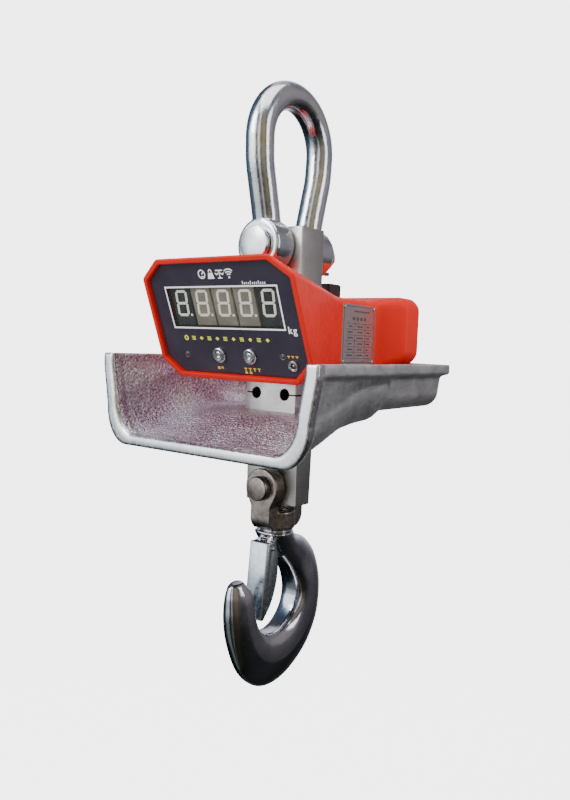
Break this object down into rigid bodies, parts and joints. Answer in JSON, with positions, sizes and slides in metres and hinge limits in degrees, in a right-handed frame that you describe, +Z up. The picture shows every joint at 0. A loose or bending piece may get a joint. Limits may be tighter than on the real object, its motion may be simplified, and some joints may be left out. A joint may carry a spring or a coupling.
{
  "type": "crane scale",
  "caption": "Hanging crane scale with a tilted display head, a cast heat-shield tray, a bow shackle above and a swivel hook with a sprung safety latch below.",
  "frame": {"origin": "inside of the shackle bow's crown, where the crane's hook bears", "axes": "+Z up along the load line, -Y the display side, +X the nameplate side"},
  "size_m": [0.262, 0.2849, 0.62],
  "materials": {
    "zinc_bar": "bright zinc with a faint blue tint",
    "dark_steel": "darkened forged steel",
    "brushed_steel": "brushed bare steel",
    "hook_chrome": "dark polished chrome",
    "latch_zinc": "blue-white zinc plate",
    "cast_aluminium": "rough sand-cast, machined lip",
    "red_casing": "glossy red paint",
    "panel_film": "satin printed film",
    "black_plastic": "moulded black",
    "window_acrylic": "smoked gloss acrylic",
    "digit_plastic": "potted LED modules",
    "circuit_board": "solder mask",
    "plate_silver": "satin anodised",
    "cable_rubber": "matte",
    "led_lens": "tinted lens"
  },
  "bodies": {
    "shackle": {"shackle_bow": "zinc_bar", "shackle_pin": "zinc_bar", "shackle_nut": "zinc_bar", "shackle_cotter": "dark_steel", "pin_washer_front": "zinc_bar", "pin_washer_rear": "zinc_bar"},
    "button_left": {"button_cap_left": "zinc_bar"},
    "button_right": {"button_cap_right": "zinc_bar"},
    "yoke": {"yoke": "dark_steel", "yoke_pin": "dark_steel", "yoke_nut": "dark_steel", "yoke_cotter": "dark_steel"},
    "hook": {"hook": "hook_chrome", "hook_nut": "dark_steel", "hook_nut_pin": "brushed_steel", "thrust_washer": "brushed_steel", "latch_pin": "brushed_steel", "latch_spring": "brushed_steel"},
    "latch": {"latch": "latch_zinc"},
    "scale_body": {"load_cell": "brushed_steel", "gauge_cover": "brushed_steel", "casing": "red_casing", "front_panel": "panel_film", "panel_gasket": "black_plastic", "window_lens": "window_acrylic", "display_board": "circuit_board", "main_board": "circuit_board", "power_led": "led_lens", "charge_led": "led_lens", "charge_socket": "zinc_bar", "battery_pack": "black_plastic", "cell_cable": "cable_rubber", "button_bezel_left": "zinc_bar", "button_bezel_right": "zinc_bar", "nameplate": "plate_silver", "antenna_cap": "black_plastic", "battery_cover": "red_casing", "casing_bracket_left": "brushed_steel", "casing_bracket_right": "brushed_steel", "bracket_screw_left": "zinc_bar", "bracket_screw_right": "zinc_bar", "tray": "cast_aluminium", "digit_1": "digit_plastic", "digit_2": "digit_plastic", "digit_3": "digit_plastic", "digit_4": "digit_plastic", "digit_5": "digit_plastic", "rivet_1": "plate_silver", "cover_screw_1": "zinc_bar", "tray_screw_1": "zinc_bar", "rivet_2": "plate_silver", "cover_screw_2": "zinc_bar", "tray_screw_2": "zinc_bar", "rivet_3": "plate_silver", "cover_screw_3": "zinc_bar", "tray_screw_3": "zinc_bar", "rivet_4": "plate_silver", "cover_screw_4": "zinc_bar", "tray_screw_4": "zinc_bar"}
  },
  "joints": [
    {"name": "shackle_swing", "type": "hinge", "parent": "shackle", "child": "scale_body", "pos_m": [0, 0, -0.138], "axis": [0, 1, 0], "range_deg": [-45, 45]},
    {"name": "button_left_press", "type": "slide", "parent": "scale_body", "child": "button_left", "axis": [0, 0.9252, 0.3795], "range_m": [0, 0.0012], "stiffness_N_per_m": 500},
    {"name": "button_right_press", "type": "slide", "parent": "scale_body", "child": "button_right", "axis": [0, 0.9252, 0.3795], "range_m": [0, 0.0012], "stiffness_N_per_m": 500},
    {"name": "yoke_swing", "type": "hinge", "parent": "scale_body", "child": "yoke", "pos_m": [0, 0, -0.38], "axis": [0, 1, 0], "range_deg": [-15, 15]},
    {"name": "hook_swivel", "type": "hinge", "parent": "yoke", "child": "hook", "pos_m": [0, 0, -0.4272], "axis": [0, 0, 1], "continuous": true},
    {"name": "latch_swing", "type": "hinge", "parent": "hook", "child": "latch", "pos_m": [0, -0.0195, -0.442], "axis": [1, 0, 0], "range_deg": [0, 34], "stiffness_Nm_per_rad": 0.15, "springref_deg": -17.19, "deforming": ["latch_spring"]}
  ]
}
